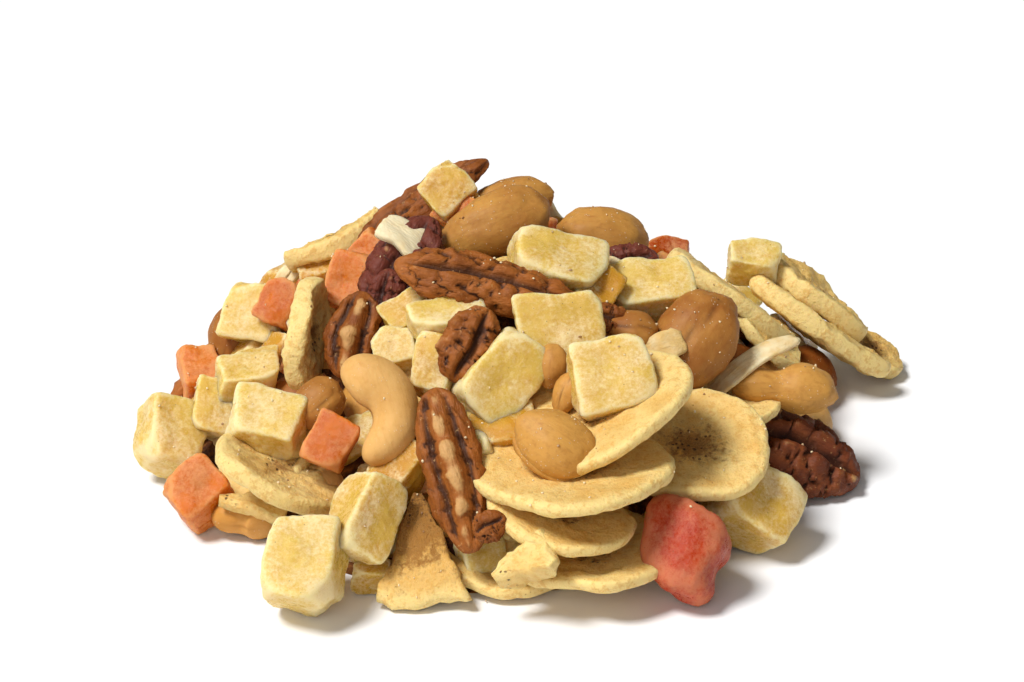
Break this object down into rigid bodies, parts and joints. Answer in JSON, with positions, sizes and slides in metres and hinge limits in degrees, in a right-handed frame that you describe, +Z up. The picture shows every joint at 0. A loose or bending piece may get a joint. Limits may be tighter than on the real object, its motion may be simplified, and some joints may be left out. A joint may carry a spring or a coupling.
{
  "type": "heap of trail mix",
  "caption": "Loose heap of tropical trail mix on a bare surface: pecans, cashews, roasted nuts, banana chips, candied fruit dice and coconut.",
  "frame": {"origin": "middle of the core's flat underside, on the surface that the heap lies on", "axes": "+X to the picture's right, +Y away from the picture's viewer, +Z up"},
  "size_m": [0.1506, 0.1411, 0.052],
  "materials": {
    "packed_mix": "dark packed crumbs between the pieces, matte",
    "pineapple": "candied pineapple, translucent yellow under a frosty sugar crust",
    "papaya": "candied papaya, orange to red with a thin sugar crust",
    "pecan": "roasted pecan, ridged red brown skin with a low sheen",
    "cashew": "roasted cashew, smooth golden with a low sheen",
    "roasted_nut": "oil roasted nut, warm brown with grains of salt",
    "banana_chip": "fried banana, cream with a golden rim and a brown seeded middle",
    "coconut": "dried coconut, off-white and fibrous"
  },
  "bodies": {
    "root": {"trail_mix": "packed_mix"}
  },
  "joints": []
}
